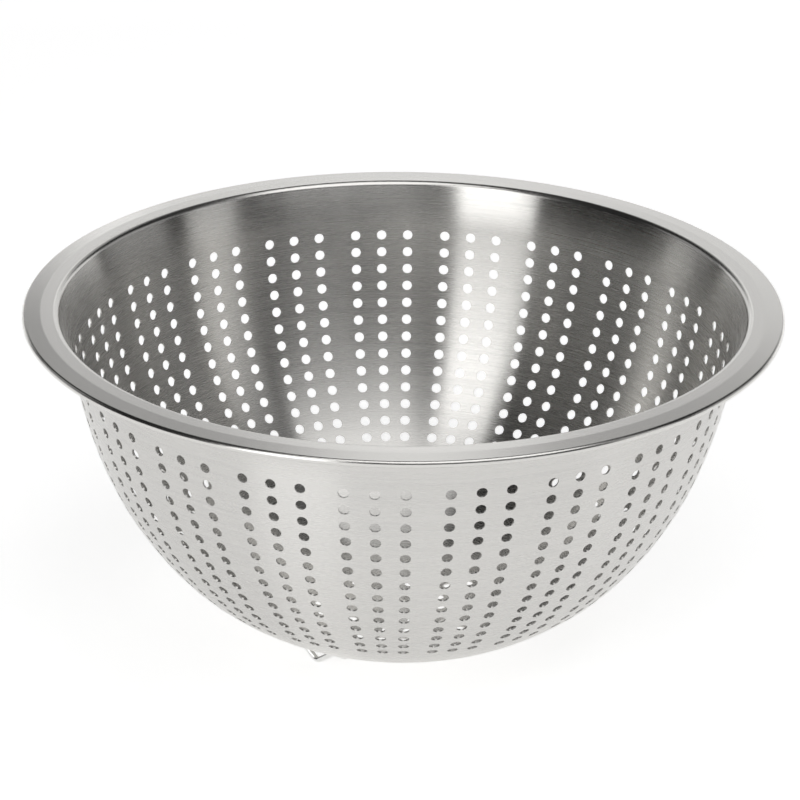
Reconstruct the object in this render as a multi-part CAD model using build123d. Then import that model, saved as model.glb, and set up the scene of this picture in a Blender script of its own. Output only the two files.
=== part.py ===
from build123d import *
import math
import os

# Colander: a pressed and perforated steel bowl with a hemmed rim, standing on three wire feet.
# Millimetres, +Z up. The origin lies on the table under the middle of the bowl, and the front faces -Y.
# The bowl is one thin sheet. Its profile is drawn on the sheet's outer side and grows inwards.

# Sheet
sheet_thickness = 0.6

# Bowl wall, from the flat base out and up. Each arc meets the next one tangentially.
# A slope is the angle between the wall and the horizontal where that arc ends, in degrees.
base_radius = 38.1
base_clearance = 6.1
knuckle_radius = 40.0
knuckle_end_slope = 22.0
lower_wall_radius = 104.5
lower_wall_end_slope = 52.0
middle_wall_radius = 138.7
middle_wall_end_slope = 71.0
upper_wall_radius = 196.0
steepest_slope = 82.0

# Above its steepest place the wall flares out a little, as a neck, up to the mouth.
neck_radius = 68.5
mouth_slope = 67.7

# Rim, from the mouth outwards: a bend, a flat seat, a brim that dips a little, and a hem folded under it.
# Bend radii are those of the sheet's outer side, which is the inside of each of these bends.
mouth_bend_radius = 2.2
rim_seat_width = 4.3
brim_bend_radius = 10.0
brim_dip_angle = 4.0
brim_width = 5.4
hem_bend_radius = 0.7
hem_width = 5.0

# Wall perforation: groups of columns all round, each column running down the wall along the sheet.
hole_diameter = 4.0
hole_group_count = 21
hole_column_angles = (-5.0, 0.0, 5.0)
hole_row_count = 14
hole_row_pitch = 7.2
mouth_to_first_row = 20.8

# Base perforation: a centre hole and rings of holes, as many rings as the flat base has room for.
base_hole_diameter = 4.0
base_ring_pitch = 8.0
base_holes_per_ring_step = 6
base_edge_margin = 2.0

# Wire feet: each is a shallow V of round wire whose ends are bent flat and welded under the knuckle.
foot_wire_diameter = 2.4
foot_names = ("foot_front_left", "foot_right", "foot_back")
first_foot_angle = -36.0
foot_setback = 11.6
foot_leg_slope = 37.0
foot_toe_bend_radius = 2.5
foot_ankle_bend_radius = 2.5
foot_land_length = 6.0
weld_depth = 0.2

# Every cutter runs this far past what it cuts.
cut_overrun = 1.5

wall_arcs = (
    (knuckle_radius, knuckle_end_slope),
    (lower_wall_radius, lower_wall_end_slope),
    (middle_wall_radius, middle_wall_end_slope),
    (upper_wall_radius, steepest_slope),
)
group_angle = 360.0 / hole_group_count


def bend(line, radius, turn, depth):
    """The next arc of a profile line. Turning left it closes on the sheet, turning right it opens."""
    sheet_radius = radius - depth if turn > 0 else radius + depth
    return JernArc(line @ 1, line % 1, sheet_radius, turn)


def straight(line, length):
    """The next straight of a profile line, in the direction the line has reached."""
    return Line(line @ 1, line @ 1 + (line % 1) * length)


def wall_line(depth):
    """The wall from the base's edge to the mouth, this deep in the sheet, in radius and height."""
    start = (base_radius, base_clearance + depth)
    lines = [JernArc(start, (1, 0), knuckle_radius - depth, knuckle_end_slope)]
    for (_, slope), (radius, end_slope) in zip(wall_arcs, wall_arcs[1:]):
        lines.append(bend(lines[-1], radius, end_slope - slope, depth))
    lines.append(bend(lines[-1], neck_radius, mouth_slope - steepest_slope, depth))
    return lines


def rim_line(wall_end, depth):
    """The rim from the mouth to the hem's edge, this deep in the sheet."""
    lines = [bend(wall_end, mouth_bend_radius, -mouth_slope, depth)]
    lines.append(straight(lines[-1], rim_seat_width))
    lines.append(bend(lines[-1], brim_bend_radius, -brim_dip_angle, depth))
    lines.append(straight(lines[-1], brim_width))
    lines.append(bend(lines[-1], hem_bend_radius, -180.0, depth))
    lines.append(straight(lines[-1], hem_width))
    return lines


def sheet_section():
    """The sheet's cross-section from the base's edge to the hem's edge."""
    sides = []
    for depth in (0.0, sheet_thickness):
        wall = wall_line(depth)
        sides.append(wall + rim_line(wall[-1], depth))
    outer, inner = sides
    ends = [Line(outer[0] @ 0, inner[0] @ 0), Line(outer[-1] @ 1, inner[-1] @ 1)]
    return Plane.XZ * make_face(outer + inner + ends)


def wall_punches():
    """One group's cutters, in the sector that starts at +X: each stands square to the wall."""
    wall = Wire(wall_line(0.0))
    punch_length = sheet_thickness + 2 * cut_overrun
    punches = []
    for row in range(hole_row_count):
        along = wall.length - mouth_to_first_row - row * hole_row_pitch
        place = wall.position_at(along, position_mode=PositionMode.LENGTH)
        run = wall.tangent_at(along, position_mode=PositionMode.LENGTH)
        inwards = Plane(origin=(place.X, 0, place.Y), z_dir=(-run.Y, 0, run.X))
        punch = inwards * Pos(0, 0, sheet_thickness / 2) * Cylinder(hole_diameter / 2, punch_length)
        for column_angle in hole_column_angles:
            punches.append(Rot(0, 0, group_angle / 2 + column_angle) * punch)
    return punches


def perforated_wall(section):
    """The wall and rim: one punched sector, repeated round the axis."""
    sector = revolve(section, Axis.Z, group_angle) - wall_punches()
    return [Rot(0, 0, turn * group_angle) * sector for turn in range(hole_group_count)]


def perforated_base():
    """The flat disc in the middle of the bottom, with its rings of drain holes."""
    disc = Pos(0, 0, base_clearance + sheet_thickness / 2) * Cylinder(base_radius, sheet_thickness)
    hole = Cylinder(base_hole_diameter / 2, sheet_thickness + 2 * cut_overrun)
    room = base_radius - base_edge_margin - base_hole_diameter / 2
    holes = [hole]
    for ring in range(1, int(room / base_ring_pitch) + 1):
        holes += PolarLocations(ring * base_ring_pitch, ring * base_holes_per_ring_step) * hole
    return disc - Pos(0, 0, base_clearance + sheet_thickness / 2) * Compound(holes)


def make_bowl(section):
    """The whole sheet, turned so that the middle of a hole group faces -Y."""
    bowl = perforated_base() + perforated_wall(section)
    return Rot(0, 0, -90.0 - group_angle / 2) * bowl


def underside_height(radius):
    """The height of the bowl's outer side at this distance from the axis, anywhere below its neck."""
    reach, height, slope = base_radius, base_clearance, 0.0
    for arc_radius, end_slope in wall_arcs:
        sine = math.sin(slope) + (radius - reach) / arc_radius
        end = math.radians(end_slope)
        if sine <= math.sin(end):
            return height + arc_radius * (math.cos(slope) - math.cos(math.asin(sine)))
        reach += arc_radius * (math.sin(end) - math.sin(slope))
        height += arc_radius * (math.cos(slope) - math.cos(end))
        slope = end
    raise ValueError("the feet stand outside the bowl's wall")


def foot_path():
    """The wire's centre line, in the upright plane that touches the foot circle at the front."""
    wire_radius = foot_wire_diameter / 2
    foot_circle_radius = base_radius + foot_setback
    slope = math.radians(foot_leg_slope)
    toe_corner = wire_radius - foot_toe_bend_radius * (1 / math.cos(slope) - 1)

    def land_height(aside):
        """The welded end's height, set weld_depth into the bowl, this far aside of the foot's middle."""
        return underside_height(math.hypot(foot_circle_radius, aside)) - wire_radius + weld_depth

    def spread_to(height):
        return (height - toe_corner) / math.tan(slope)

    ankle_height = land_height(spread_to(land_height(0.0)))
    ankle = spread_to(ankle_height)
    tip = ankle + foot_land_length
    path = FilletPolyline(
        (-tip, land_height(tip)),
        (-ankle, ankle_height),
        (0.0, toe_corner),
        (ankle, ankle_height),
        (tip, land_height(tip)),
        radius=(foot_ankle_bend_radius, foot_toe_bend_radius, foot_ankle_bend_radius),
    )
    return Plane.XZ.offset(foot_circle_radius) * path


def make_foot(bowl_blank):
    """One foot at the front, its ends seated on the bowl's outer side."""
    path = foot_path()
    wire = sweep(Plane(origin=path @ 0, z_dir=path % 0) * Circle(foot_wire_diameter / 2), path)
    return wire - bowl_blank


os.makedirs("parts", exist_ok=True)

section = sheet_section()
bowl = make_bowl(section)
export_step(bowl, "parts/bowl.step", write_pcurves=False)

foot = make_foot(revolve(section, Axis.Z))
for turn, name in enumerate(foot_names):
    angle = first_foot_angle + turn * 360.0 / len(foot_names)
    export_step(Rot(0, 0, angle) * foot, f"parts/{name}.step")

size = bowl.bounding_box().size
print("bowl", size, "volume", round(bowl.volume, 1), "solids", len(bowl.solids()))
print("rim top", round(bowl.bounding_box().max.Z, 3), "foot bottom", round(foot.bounding_box().min.Z, 4))
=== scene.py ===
"""A stainless steel colander on a pale table, as in the photograph."""

import math

import bpy
import numpy as np
from mathutils import Matrix, Vector


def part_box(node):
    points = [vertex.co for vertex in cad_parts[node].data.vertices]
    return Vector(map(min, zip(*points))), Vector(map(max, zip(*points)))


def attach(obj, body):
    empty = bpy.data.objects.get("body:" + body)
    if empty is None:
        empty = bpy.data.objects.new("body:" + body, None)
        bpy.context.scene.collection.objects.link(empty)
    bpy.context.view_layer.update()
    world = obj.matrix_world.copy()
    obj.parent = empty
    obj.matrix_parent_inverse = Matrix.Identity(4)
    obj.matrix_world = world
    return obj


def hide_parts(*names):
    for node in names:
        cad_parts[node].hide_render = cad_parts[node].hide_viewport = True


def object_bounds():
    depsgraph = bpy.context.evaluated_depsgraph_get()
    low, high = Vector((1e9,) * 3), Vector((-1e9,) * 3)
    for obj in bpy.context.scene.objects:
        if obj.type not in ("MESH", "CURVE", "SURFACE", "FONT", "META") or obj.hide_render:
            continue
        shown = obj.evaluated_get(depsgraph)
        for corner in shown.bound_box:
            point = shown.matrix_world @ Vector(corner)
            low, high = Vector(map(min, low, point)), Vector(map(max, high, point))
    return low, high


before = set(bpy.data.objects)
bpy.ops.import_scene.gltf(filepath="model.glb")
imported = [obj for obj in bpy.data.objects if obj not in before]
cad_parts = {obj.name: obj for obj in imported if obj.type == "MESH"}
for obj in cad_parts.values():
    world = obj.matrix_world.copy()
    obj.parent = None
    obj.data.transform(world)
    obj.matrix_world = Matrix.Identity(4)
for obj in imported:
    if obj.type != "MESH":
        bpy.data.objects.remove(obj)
cad_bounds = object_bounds()

# Sizes are millimetres and degrees, and MM turns them into Blender's metres.
MM = 0.001

# The bowl's sheet, as in the CAD model: its outer side from the edge of the flat base to the hem's edge.
# Each piece is an arc (radius and turn to the left) or a straight run (length and no turn).
SHEET_THICKNESS = 0.6
BASE_RADIUS = 38.1
BASE_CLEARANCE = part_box("bowl")[0].z / MM
WALL = ((40.0, 22.0), (104.5, 30.0), (138.7, 19.0), (196.0, 11.0), (68.5, -14.3))
RIM = ((2.2, -67.7), (4.3, 0.0), (10.0, -4.0), (5.4, 0.0), (0.7, -180.0), (5.0, 0.0))
RIM_STEPS = (8, 1, 2, 2, 14, 1)

HOLE_RADIUS = 2.0
HOLE_GROUPS = 21
COLUMN_ANGLE = 5.0
COLUMNS = 3
HOLE_ROWS = 14
ROW_PITCH = 7.2
MOUTH_TO_FIRST_ROW = 20.8
BASE_RING_PITCH = 8.0
BASE_RINGS = 4
BASE_HOLES_PER_RING_STEP = 6

# How finely the sheet is meshed.
STEPS_PER_HOLE = 5
BASE_LOOP_STEPS = 144
BLANK_STEP = 4.2

# The two finishes of the sheet, as places in its list of materials.
WALL_MATERIAL, RIM_MATERIAL = 0, 1

GROUP_ANGLE = 360.0 / HOLE_GROUPS
FRONT_GROUP = -90.0

# The camera, fitted to the photograph's rim and holes. It stands at these angles from the rim's centre,
# and aims at a point this far to the right of that centre and above it, across the line of sight.
IMAGE_SIDE = 800
FOCAL_PIXELS = 3162.7
SENSOR_WIDTH = 36.0
CAMERA_DISTANCE = 1208.8
CAMERA_ELEVATION = 22.266
CAMERA_AZIMUTH = 4.26
CAMERA_ROLL = 0.531
AIM_RIGHT = -0.95
AIM_UP = -38.32

# The steel sheet. The wall's brush lines run round the axis, so a light smears up and down it, and the rim
# is smoother. Roughness goes from the first value to the second. Spacings and depths are millimetres.
BOWL_COLOUR = (0.63, 0.62, 0.6)
WALL_ROUGHNESS = (0.24, 0.3)
WALL_ANISOTROPY = 1.0
WALL_BRUSH_DEPTH = 0.0032
RIM_ROUGHNESS = (0.22, 0.26)
RIM_ANISOTROPY = 0.3
RIM_BRUSH_DEPTH = 0.0005
BRUSH_SPACING = 0.2
BRUSH_DRIFT = 8.0
BRUSH_BAND_SPACING = 1.4
BRUSH_BAND_DRIFT = 1.5

# The smear stands square to the brush lines. A whole turn is 1.
SMEAR_TURN = 0.25

WIRE_COLOUR = (0.74, 0.74, 0.73)
WIRE_ROUGHNESS = (0.15, 0.25)
WIRE_GRAIN = 900.0

# Noise keeps near a half, and this is the range that it mostly stays in.
NOISE_DETAIL = 2.0
NOISE_RANGE = (0.25, 0.75)

# The studio. Lengths here are metres. A soft box has a name, azimuth, elevation, distance, width,
# height and level; azimuth 0 is the front, 90 the right and -90 the left.
# The floor's glow rises between these two distances from the bowl, so that it stays white where the
# lamps don't reach.
FLOOR_COLOUR = (0.8, 0.8, 0.8)
FLOOR_GLOW = 0.63
FAR_FLOOR_GLOW = 1.0
GLOW_RISES_FROM = 0.8
GLOW_RISES_TO = 2.4
FLOOR_REACH = 40.0
ROOM_COLOUR = (0.01, 0.01, 0.01)
SOFT_BOXES = (
    ("key", -29.5, 17.0, 2.2, 1.07, 1.3, 2.5),
    ("key_above", -29.5, 45.0, 2.2, 0.8, 0.9, 2.2),
    ("front_low", 6.0, 6.0, 2.4, 1.9, 0.5, 0.58),
    ("front_right", 37.0, 25.0, 2.3, 0.8, 1.2, 0.22),
    ("right", 77.0, 17.0, 2.2, 0.76, 1.3, 0.75),
    ("right_rear", 112.0, 16.0, 2.4, 1.3, 1.3, 0.45),
    ("behind_right", 147.0, 10.0, 2.5, 1.35, 1.0, 1.05),
    ("behind", 179.0, 12.5, 2.5, 1.4, 1.3, 0.94),
    ("behind_left", -149.0, 11.0, 2.5, 1.5, 1.0, 0.95),
    ("behind_above", 180.0, 38.0, 2.4, 1.7, 1.0, 0.44),
    ("behind_strip", 183.8, 41.0, 2.3, 0.3, 1.25, 0.75),
    ("left_rear", -113.0, 20.0, 2.4, 1.0, 1.4, 0.36),
    ("overhead", 35.0, 73.0, 2.0, 1.65, 1.65, 1.6),
    ("overhead_front", 50.0, 50.0, 2.2, 2.4, 0.7, 0.34),
)


def length_of(piece):
    """How long an arc or a straight run of the sheet's line is."""
    size, turn = piece
    return abs(size * math.radians(turn)) if turn else size


def line_at(distance):
    """Radius, height and heading in radians of the sheet's outer side, this far from the base's edge."""
    radius, height, heading = BASE_RADIUS, BASE_CLEARANCE, 0.0
    for piece in WALL + RIM:
        size, turn = piece
        run = min(distance, length_of(piece))
        if turn:
            side = math.copysign(1.0, turn)
            after = heading + side * run / size
            radius += side * size * (math.sin(after) - math.sin(heading))
            height -= side * size * (math.cos(after) - math.cos(heading))
            heading = after
        else:
            radius += run * math.cos(heading)
            height += run * math.sin(heading)
        distance -= run
        if distance <= 0:
            break
    return radius, height, heading


WALL_LENGTH = sum(length_of(piece) for piece in WALL)


def row_distance(row):
    """How far along the sheet's line a row of holes is, counted from the mouth down."""
    return WALL_LENGTH - MOUTH_TO_FIRST_ROW - row * ROW_PITCH


def rotated(x, y, angle):
    """A flat point or direction, turned about the axis."""
    turn = math.radians(angle)
    return x * math.cos(turn) - y * math.sin(turn), x * math.sin(turn) + y * math.cos(turn)


class SheetMesh:
    """Gathers the sheet's points and faces, with a normal for every corner."""

    def __init__(self):
        self.points, self.normals = [], []
        self.faces, self.corner_normals = [], []
        self.material, self.face_materials = WALL_MATERIAL, []

    def point(self, radius, height, angle, normal=(0.0, 1.0)):
        """A point of a round surface. Its normal is given as outwards and upwards parts."""
        x, y = rotated(radius, 0.0, angle)
        nx, ny = rotated(normal[0], 0.0, angle)
        self.points.append((x * MM, y * MM, height * MM))
        self.normals.append((nx, ny, normal[1]))
        return len(self.points) - 1

    def face(self, corners, normals=None):
        """A face, with its points' own normals where no others are given."""
        self.faces.append(corners)
        self.face_materials.append(self.material)
        self.corner_normals += normals or [self.normals[c] for c in corners]

    def band(self, loop, other, closed=True):
        """A strip of quads between two rows of as many points."""
        n = len(loop)
        for i in range(n if closed else n - 1):
            j = (i + 1) % n
            self.face((loop[i], loop[j], other[j], other[i]))

    def wall_of_hole(self, outer, inner, centre, axis):
        """The cut edge of a hole, between its circles on the two sides of the sheet."""
        axis, centre = Vector(axis), Vector(centre)
        towards = {}
        for corner in (*outer, *inner):
            offset = centre - Vector(self.points[corner])
            towards[corner] = tuple((offset - axis * offset.dot(axis)).normalized())
        n = len(outer)
        for i in range(n):
            j = (i + 1) % n
            corners = (outer[i], outer[j], inner[j], inner[i])
            self.face(corners, [towards[c] for c in corners])

    def stitch(self, loop, loop_angles, other, other_angles, flip):
        """Triangles between two closed rows that have different numbers of points."""
        i = j = 0
        n, m = len(loop), len(other)
        while i < n or j < m:
            next_i = loop_angles[(i + 1) % n] + 360.0 * ((i + 1) // n)
            next_j = other_angles[(j + 1) % m] + 360.0 * ((j + 1) // m)
            a, b = loop[i % n], other[j % m]
            if j >= m or (i < n and next_i <= next_j):
                i += 1
                corners = (a, loop[i % n], b)
            else:
                j += 1
                corners = (a, other[j % m], b)
            self.face(corners[::-1] if flip else corners)


def sheet_sides(distance):
    """Where the two sides of the sheet are at this distance: radius, height and normal of each."""
    radius, height, heading = line_at(distance)
    out = (math.sin(heading), -math.cos(heading))
    back = (-out[0], -out[1])
    inner_radius = radius + back[0] * SHEET_THICKNESS
    inner_height = height + back[1] * SHEET_THICKNESS
    return (radius, height, out), (inner_radius, inner_height, back)


def wall_distances():
    """Distances of the mesh's rings from the base's edge to the hem, and the first ring of each hole row."""
    half = ROW_PITCH / 2
    lowest, highest = row_distance(HOLE_ROWS - 1) - half, row_distance(0) + half
    blank_steps = round(lowest / BLANK_STEP)
    distances = list(np.linspace(0.0, lowest, blank_steps + 1))
    first = {}
    for row in reversed(range(HOLE_ROWS)):
        first[row] = len(distances) - 1
        start = row_distance(row) - half
        distances += [start + ROW_PITCH * k / STEPS_PER_HOLE for k in range(1, STEPS_PER_HOLE + 1)]
    above = math.ceil((WALL_LENGTH - highest) / BLANK_STEP)
    distances += list(np.linspace(highest, WALL_LENGTH, above + 1))[1:]
    start = WALL_LENGTH
    for piece, steps in zip(RIM, RIM_STEPS):
        length = length_of(piece)
        distances += [start + length * k / steps for k in range(1, steps + 1)]
        start += length
    return distances, first


def column_angles():
    """Angles of the mesh's columns, one group after another, from the front group's first cell."""
    per_group = COLUMNS * STEPS_PER_HOLE + 1
    step = COLUMN_ANGLE / STEPS_PER_HOLE
    start = FRONT_GROUP - COLUMNS * COLUMN_ANGLE / 2
    return [
        start + group * GROUP_ANGLE + k * step
        for group in range(HOLE_GROUPS)
        for k in range(per_group)
    ]


def bowl_mesh():
    """The whole sheet: perforated base, perforated wall, rim and hem."""
    sheet = SheetMesh()
    distances, first_ring = wall_distances()
    angles = column_angles()
    sides = [sheet_sides(d) for d in distances]
    row_of_ring = {first_ring[row] + k: row for row in first_ring for k in range(STEPS_PER_HOLE)}
    per_group = COLUMNS * STEPS_PER_HOLE + 1
    last = len(distances) - 1
    first_rim_ring = last - sum(RIM_STEPS)
    known = {}

    def grid(side, ring, column):
        """A point where a ring and a column meet, made once."""
        key = (side, ring, column % len(angles))
        if key not in known:
            radius, height, normal = sides[ring][side]
            known[key] = sheet.point(radius, height, angles[key[2]], normal)
        return known[key]

    for ring in range(last):
        sheet.material = RIM_MATERIAL if ring >= first_rim_ring else WALL_MATERIAL
        for column in range(len(angles)):
            in_cell = ring in row_of_ring and column % per_group < COLUMNS * STEPS_PER_HOLE
            if in_cell:
                continue
            for side in (0, 1):
                quad = [
                    grid(side, ring, column),
                    grid(side, ring, column + 1),
                    grid(side, ring + 1, column + 1),
                    grid(side, ring + 1, column),
                ]
                sheet.face(quad[::-1] if side else quad)

    sheet.material = WALL_MATERIAL
    for row in range(HOLE_ROWS):
        for group in range(HOLE_GROUPS):
            for k in range(COLUMNS):
                column = group * per_group + k * STEPS_PER_HOLE
                angle = FRONT_GROUP + group * GROUP_ANGLE + (k - (COLUMNS - 1) / 2) * COLUMN_ANGLE
                hole_cell(sheet, grid, first_ring[row], column, row_distance(row), angle)

    sheet.material = RIM_MATERIAL
    edge = [[grid(side, last, column) for column in range(len(angles))] for side in (0, 1)]
    heading = line_at(distances[last])[2]
    n = len(angles)
    for i in range(n):
        j = (i + 1) % n
        corners = (edge[0][i], edge[0][j], edge[1][j], edge[1][i])
        cut = [(*rotated(math.cos(heading), 0.0, angles[k]), math.sin(heading)) for k in (i, j, j, i)]
        sheet.face(corners, cut)

    sheet.material = WALL_MATERIAL
    rims = [[grid(side, 0, column) for column in range(len(angles))] for side in (0, 1)]
    base_disc(sheet, rims, angles)
    return sheet


def hole_cell(sheet, grid, ring, column, distance, angle):
    """One punched hole and the two patches of sheet round it."""
    n = STEPS_PER_HOLE
    around = (
        [(ring, column + k) for k in range(n)]
        + [(ring + k, column + n) for k in range(n)]
        + [(ring + n, column + n - k) for k in range(n)]
        + [(ring + n - k, column) for k in range(n)]
    )
    steps = len(around)
    corner_turn = 3 * math.pi / 4
    circles = ([], [])
    for k in range(steps):
        turn = 2 * math.pi * k / steps - corner_turn
        along, aside = HOLE_RADIUS * math.sin(turn), HOLE_RADIUS * math.cos(turn)
        places = sheet_sides(distance + along)
        swing = math.degrees(aside / places[0][0])
        for side in (0, 1):
            radius, height, normal = places[side]
            circles[side].append(sheet.point(radius, height, angle + swing, normal))
    edges = [[grid(side, *place) for place in around] for side in (0, 1)]
    sheet.band(edges[0], circles[0])
    sheet.band(circles[1], edges[1])
    radius, height, normal = sheet_sides(distance)[0]
    centre = (*rotated(radius * MM, 0.0, angle), height * MM)
    axis = (*rotated(normal[0], 0.0, angle), normal[1])
    sheet.wall_of_hole(*circles, centre, axis)


def base_disc(sheet, rims, rim_angles):
    """The flat disc, with a centre hole and rings of holes, joined to the wall's first ring."""
    heights = (BASE_CLEARANCE, BASE_CLEARANCE + SHEET_THICKNESS)
    ups = ((0.0, -1.0), (0.0, 1.0))
    start = FRONT_GROUP - GROUP_ANGLE / 2
    loop_angles = [start + 360.0 * k / BASE_LOOP_STEPS for k in range(BASE_LOOP_STEPS)]
    known = {}

    def loop_point(side, ring, column):
        """A point of the circle outside a ring of holes; ring 0 is the centre hole."""
        key = (side, ring, column % BASE_LOOP_STEPS)
        if key not in known:
            radius = (ring + 0.5) * BASE_RING_PITCH
            known[key] = sheet.point(radius, heights[side], loop_angles[key[2]], ups[side])
        return known[key]

    def spoke_point(side, ring, column, step):
        """A point of the line between two holes of a ring, counted outwards."""
        if step in (0, STEPS_PER_HOLE):
            return loop_point(side, ring - 1 + step // STEPS_PER_HOLE, column)
        key = (side, ring, column % BASE_LOOP_STEPS, step)
        if key not in known:
            radius = (ring - 0.5 + step / STEPS_PER_HOLE) * BASE_RING_PITCH
            known[key] = sheet.point(radius, heights[side], loop_angles[column % BASE_LOOP_STEPS], ups[side])
        return known[key]

    def base_hole(radius, angle, edges):
        """A hole and the patches round it. The circle's points follow the directions of the edge's."""
        x, y = rotated(radius, 0.0, angle)
        circles = ([], [])
        for corner in edges[0]:
            px, py = sheet.points[corner][0] / MM - x, sheet.points[corner][1] / MM - y
            far = math.hypot(px, py)
            hx, hy = x + px / far * HOLE_RADIUS, y + py / far * HOLE_RADIUS
            for side in (0, 1):
                place = math.degrees(math.atan2(hy, hx))
                circles[side].append(sheet.point(math.hypot(hx, hy), heights[side], place, ups[side]))
        sheet.band(circles[0], edges[0])
        sheet.band(edges[1], circles[1])
        centre = (x * MM, y * MM, heights[0] * MM)
        sheet.wall_of_hole(circles[0][::-1], circles[1][::-1], centre, (0.0, 0.0, 1.0))

    middle = [[loop_point(side, 0, k) for k in range(BASE_LOOP_STEPS)] for side in (0, 1)]
    base_hole(0.0, start, middle)
    for ring in range(1, BASE_RINGS + 1):
        count = ring * BASE_HOLES_PER_RING_STEP
        wide = BASE_LOOP_STEPS // count
        for hole in range(count):
            left = hole * wide - wide // 2
            edges = []
            for side in (0, 1):
                right = left + wide
                edges.append(
                    [loop_point(side, ring - 1, right - k) for k in range(wide)]
                    + [spoke_point(side, ring, left, k) for k in range(STEPS_PER_HOLE)]
                    + [loop_point(side, ring, left + k) for k in range(wide)]
                    + [spoke_point(side, ring, right, STEPS_PER_HOLE - k) for k in range(STEPS_PER_HOLE)]
                )
            base_hole(ring * BASE_RING_PITCH, start + hole * 360.0 / count, edges)

    for side in (0, 1):
        last = [loop_point(side, BASE_RINGS, k) for k in range(BASE_LOOP_STEPS)]
        shift = min(range(len(rim_angles)), key=lambda k: (rim_angles[k] - start) % 360.0)
        order = [(k + shift) % len(rim_angles) for k in range(len(rim_angles))]
        outer = [rims[side][k] for k in order]
        outer_angles = [start + (rim_angles[k] - start) % 360.0 for k in order]
        sheet.stitch(last, loop_angles, outer, outer_angles, flip=bool(side))


def mesh_object(name, sheet):
    """A smooth mesh with the sheet's own normals."""
    mesh = bpy.data.meshes.new(name)
    mesh.from_pydata(sheet.points, [], sheet.faces)
    mesh.polygons.foreach_set("material_index", sheet.face_materials)
    mesh.polygons.foreach_set("use_smooth", [True] * len(mesh.polygons))
    mesh.normals_split_custom_set(sheet.corner_normals)
    made = bpy.data.objects.new(name, mesh)
    bpy.context.scene.collection.objects.link(made)
    return made


def node(tree, kind, inputs=None, **settings):
    """Adds a shader node. Its inputs are given as values or as other nodes' outputs."""
    made = tree.nodes.new(kind)
    for name, value in settings.items():
        setattr(made, name, value)
    for name, value in (inputs or {}).items():
        if isinstance(value, bpy.types.NodeSocket):
            tree.links.new(value, made.inputs[name])
        else:
            made.inputs[name].default_value = value
    return made


def new_material(name):
    """An empty material and its node tree."""
    made = bpy.data.materials.new(name)
    made.use_nodes = True
    made.node_tree.nodes.clear()
    return made, made.node_tree


def finish_material(tree, shader):
    """Joins the shader to the material's output."""
    node(tree, "ShaderNodeOutputMaterial", {"Surface": shader})


def brush_lines(tree, spacing, drift):
    """Noise in lines round the axis: spacing is their pitch in millimetres, drift how fast they change."""
    place = node(tree, "ShaderNodeTexCoord").outputs["Object"]
    level_only = (1.0, 1.0, 0.0)
    flat = node(tree, "ShaderNodeVectorMath", {0: place, 1: level_only}, operation="MULTIPLY").outputs[0]
    radius = node(tree, "ShaderNodeVectorMath", {0: flat}, operation="LENGTH").outputs["Value"]
    round_axis = node(tree, "ShaderNodeVectorMath", {0: flat}, operation="NORMALIZE").outputs[0]
    height = node(tree, "ShaderNodeSeparateXYZ", {0: place}).outputs["Z"]
    along = node(tree, "ShaderNodeMath", {0: radius, 1: height}, operation="ADD").outputs[0]
    pitch = node(tree, "ShaderNodeMath", {0: along, 1: spacing * MM}, operation="DIVIDE").outputs[0]
    parts = node(tree, "ShaderNodeSeparateXYZ", {0: round_axis})
    sideways = [
        node(tree, "ShaderNodeMath", {0: parts.outputs[axis], 1: drift}, operation="MULTIPLY").outputs[0]
        for axis in ("X", "Y")
    ]
    vector = node(tree, "ShaderNodeCombineXYZ", {"X": sideways[0], "Y": sideways[1], "Z": pitch}).outputs[0]
    return noise(tree, vector, 1.0)


def noise(tree, vector, scale):
    """Smooth noise with some finer detail."""
    inputs = {"Vector": vector, "Scale": scale, "Detail": NOISE_DETAIL}
    return node(tree, "ShaderNodeTexNoise", inputs).outputs["Fac"]


def mapped(tree, value, before, after):
    """Maps a value from one range to another and keeps it there."""
    inputs = {"Value": value}
    inputs["From Min"], inputs["From Max"] = before
    inputs["To Min"], inputs["To Max"] = after
    return node(tree, "ShaderNodeMapRange", inputs).outputs["Result"]


def sheet_steel(name, roughness, anisotropy, brush_depth):
    """Steel with lines round the axis. The wall is brushed and the rim is nearly smooth."""
    made, tree = new_material(name)
    fine = brush_lines(tree, BRUSH_SPACING, BRUSH_DRIFT)
    broad = brush_lines(tree, BRUSH_BAND_SPACING, BRUSH_BAND_DRIFT)
    both = node(tree, "ShaderNodeMath", {0: fine, 1: broad}, operation="ADD").outputs[0]
    mean = node(tree, "ShaderNodeMath", {0: both, 1: 0.5}, operation="MULTIPLY").outputs[0]
    grooves = {"Strength": 1.0, "Distance": brush_depth * MM, "Height": fine}
    bump = node(tree, "ShaderNodeBump", grooves).outputs["Normal"]
    round_axis = node(tree, "ShaderNodeTangent", direction_type="RADIAL", axis="Z").outputs["Tangent"]
    shader = node(
        tree,
        "ShaderNodeBsdfPrincipled",
        {
            "Base Color": (*BOWL_COLOUR, 1.0),
            "Metallic": 1.0,
            "Roughness": mapped(tree, mean, NOISE_RANGE, roughness),
            "Anisotropic": anisotropy,
            "Anisotropic Rotation": SMEAR_TURN,
            "Tangent": round_axis,
            "Normal": bump,
        },
    )
    finish_material(tree, shader.outputs["BSDF"])
    return made


def drawn_wire():
    """Bright wire with a fine grain."""
    made, tree = new_material("wire_steel")
    place = node(tree, "ShaderNodeTexCoord").outputs["Object"]
    grain = noise(tree, place, WIRE_GRAIN)
    shader = node(
        tree,
        "ShaderNodeBsdfPrincipled",
        {
            "Base Color": (*WIRE_COLOUR, 1.0),
            "Metallic": 1.0,
            "Roughness": mapped(tree, grain, NOISE_RANGE, WIRE_ROUGHNESS),
        },
    )
    finish_material(tree, shader.outputs["BSDF"])
    return made


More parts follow.
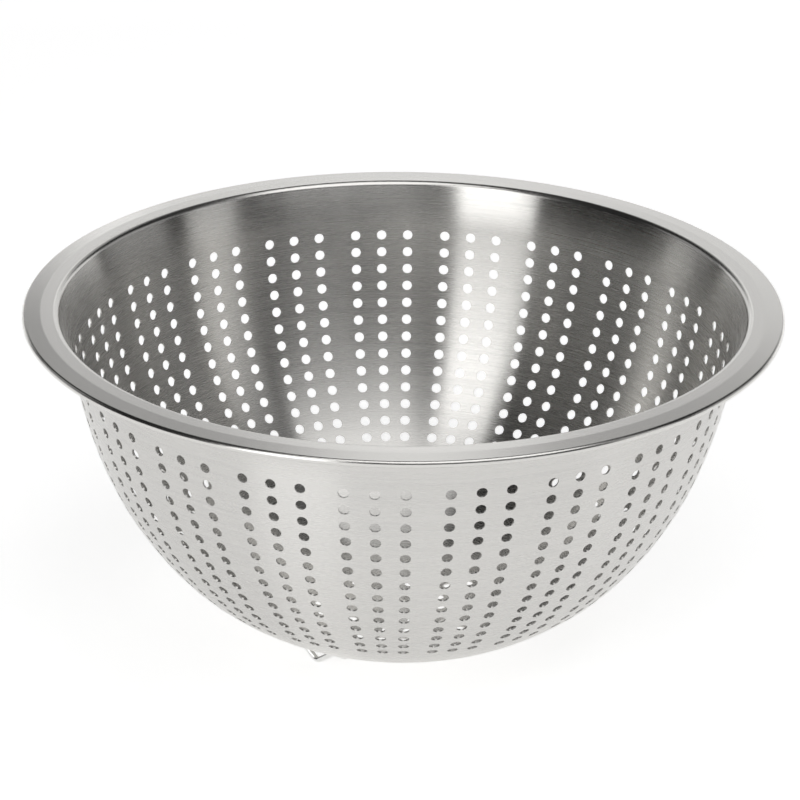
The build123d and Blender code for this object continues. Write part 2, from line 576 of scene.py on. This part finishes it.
def white_floor():
    """A pale floor that keeps the object's shadow, and that glows white to the eye and in reflections."""
    made, tree = new_material("floor_white")
    path = node(tree, "ShaderNodeLightPath").outputs
    seen = path["Is Camera Ray"]
    for ray in ("Is Glossy Ray", "Is Transmission Ray"):
        seen = node(tree, "ShaderNodeMath", {0: seen, 1: path[ray]}, operation="MAXIMUM").outputs[0]
    matt = node(tree, "ShaderNodeBsdfDiffuse", {"Color": (*FLOOR_COLOUR, 1.0)}).outputs["BSDF"]
    place = node(tree, "ShaderNodeTexCoord").outputs["Object"]
    away = node(tree, "ShaderNodeVectorMath", {0: place}, operation="LENGTH").outputs["Value"]
    strength = mapped(tree, away, (GLOW_RISES_FROM, GLOW_RISES_TO), (FLOOR_GLOW, FAR_FLOOR_GLOW))
    glow = node(tree, "ShaderNodeEmission", {"Color": (1.0, 1.0, 1.0, 1.0), "Strength": strength}).outputs[0]
    both = node(tree, "ShaderNodeAddShader", {0: matt, 1: glow}).outputs[0]
    finish_material(tree, node(tree, "ShaderNodeMixShader", {0: seen, 1: matt, 2: both}).outputs[0])
    return made


def direction(azimuth, elevation):
    """The direction from the object to something at these angles. Azimuth 0 is the front, 90 the right."""
    a, e = math.radians(azimuth), math.radians(elevation)
    return Vector((math.sin(a) * math.cos(e), -math.cos(a) * math.cos(e), math.sin(e)))


def make_camera(rim_top):
    """The camera as it stood for the photograph."""
    back = direction(CAMERA_AZIMUTH, CAMERA_ELEVATION)
    right = Vector((0.0, 0.0, 1.0)).cross(back).normalized()
    up = back.cross(right)
    rim_centre = Vector((0.0, 0.0, rim_top))
    place = rim_centre + back * CAMERA_DISTANCE * MM
    forward = (rim_centre + (right * AIM_RIGHT + up * AIM_UP) * MM - place).normalized()
    level = forward.cross(Vector((0.0, 0.0, 1.0))).normalized()
    upright = level.cross(forward)
    c, s = math.cos(math.radians(CAMERA_ROLL)), math.sin(math.radians(CAMERA_ROLL))
    x_axis = level * c + upright * s
    y_axis = upright * c - level * s
    turn = Matrix((x_axis, y_axis, -forward)).transposed().to_4x4()
    lens = bpy.data.cameras.new("camera")
    lens.sensor_width = SENSOR_WIDTH
    lens.lens = FOCAL_PIXELS * SENSOR_WIDTH / IMAGE_SIDE
    camera = bpy.data.objects.new("camera", lens)
    camera.matrix_world = Matrix.Translation(place) @ turn
    bpy.context.scene.collection.objects.link(camera)
    bpy.context.scene.camera = camera


def soft_box(name, azimuth, elevation, distance, width, height, level):
    """A rectangular lamp aimed at the bowl. Its level is how bright it looks, where 1 is white."""
    light = bpy.data.lights.new(name, "AREA")
    light.shape = "RECTANGLE"
    light.size, light.size_y = width, height
    light.energy = level * math.pi * width * height
    lamp = bpy.data.objects.new(name, light)
    away = direction(azimuth, elevation)
    lamp.location = away * distance
    lamp.rotation_mode = "QUATERNION"
    lamp.rotation_quaternion = away.to_track_quat("Z", "Y")
    bpy.context.scene.collection.objects.link(lamp)


def make_floor():
    """The wide floor that the object stands on."""
    mesh = bpy.data.meshes.new("floor")
    corners = [(x * FLOOR_REACH, y * FLOOR_REACH, 0.0) for x, y in ((-1, -1), (1, -1), (1, 1), (-1, 1))]
    mesh.from_pydata(corners, [], [(0, 1, 2, 3)])
    floor = bpy.data.objects.new("floor", mesh)
    floor.data.materials.append(white_floor())
    bpy.context.scene.collection.objects.link(floor)


def make_world():
    """The dark room round the lamps."""
    world = bpy.data.worlds.new("studio")
    world.use_nodes = True
    tree = world.node_tree
    tree.nodes.clear()
    sky = node(tree, "ShaderNodeBackground", {"Color": (*ROOM_COLOUR, 1.0), "Strength": 1.0}).outputs[0]
    node(tree, "ShaderNodeOutputWorld", {"Surface": sky})
    bpy.context.scene.world = world


bowl = mesh_object("bowl_sheet", bowl_mesh())
bowl.data.materials.append(sheet_steel("wall_steel", WALL_ROUGHNESS, WALL_ANISOTROPY, WALL_BRUSH_DEPTH))
bowl.data.materials.append(sheet_steel("rim_steel", RIM_ROUGHNESS, RIM_ANISOTROPY, RIM_BRUSH_DEPTH))
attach(bowl, "root")
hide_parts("bowl")

wire = drawn_wire()
for name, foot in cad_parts.items():
    if name.startswith("foot_"):
        foot.data.materials.clear()
        foot.data.materials.append(wire)
        foot.data.polygons.foreach_set("use_smooth", [True] * len(foot.data.polygons))

make_floor()
make_world()
for box in SOFT_BOXES:
    soft_box(*box)
make_camera(cad_bounds[1].z)
bpy.context.scene.view_settings.view_transform = "Standard"
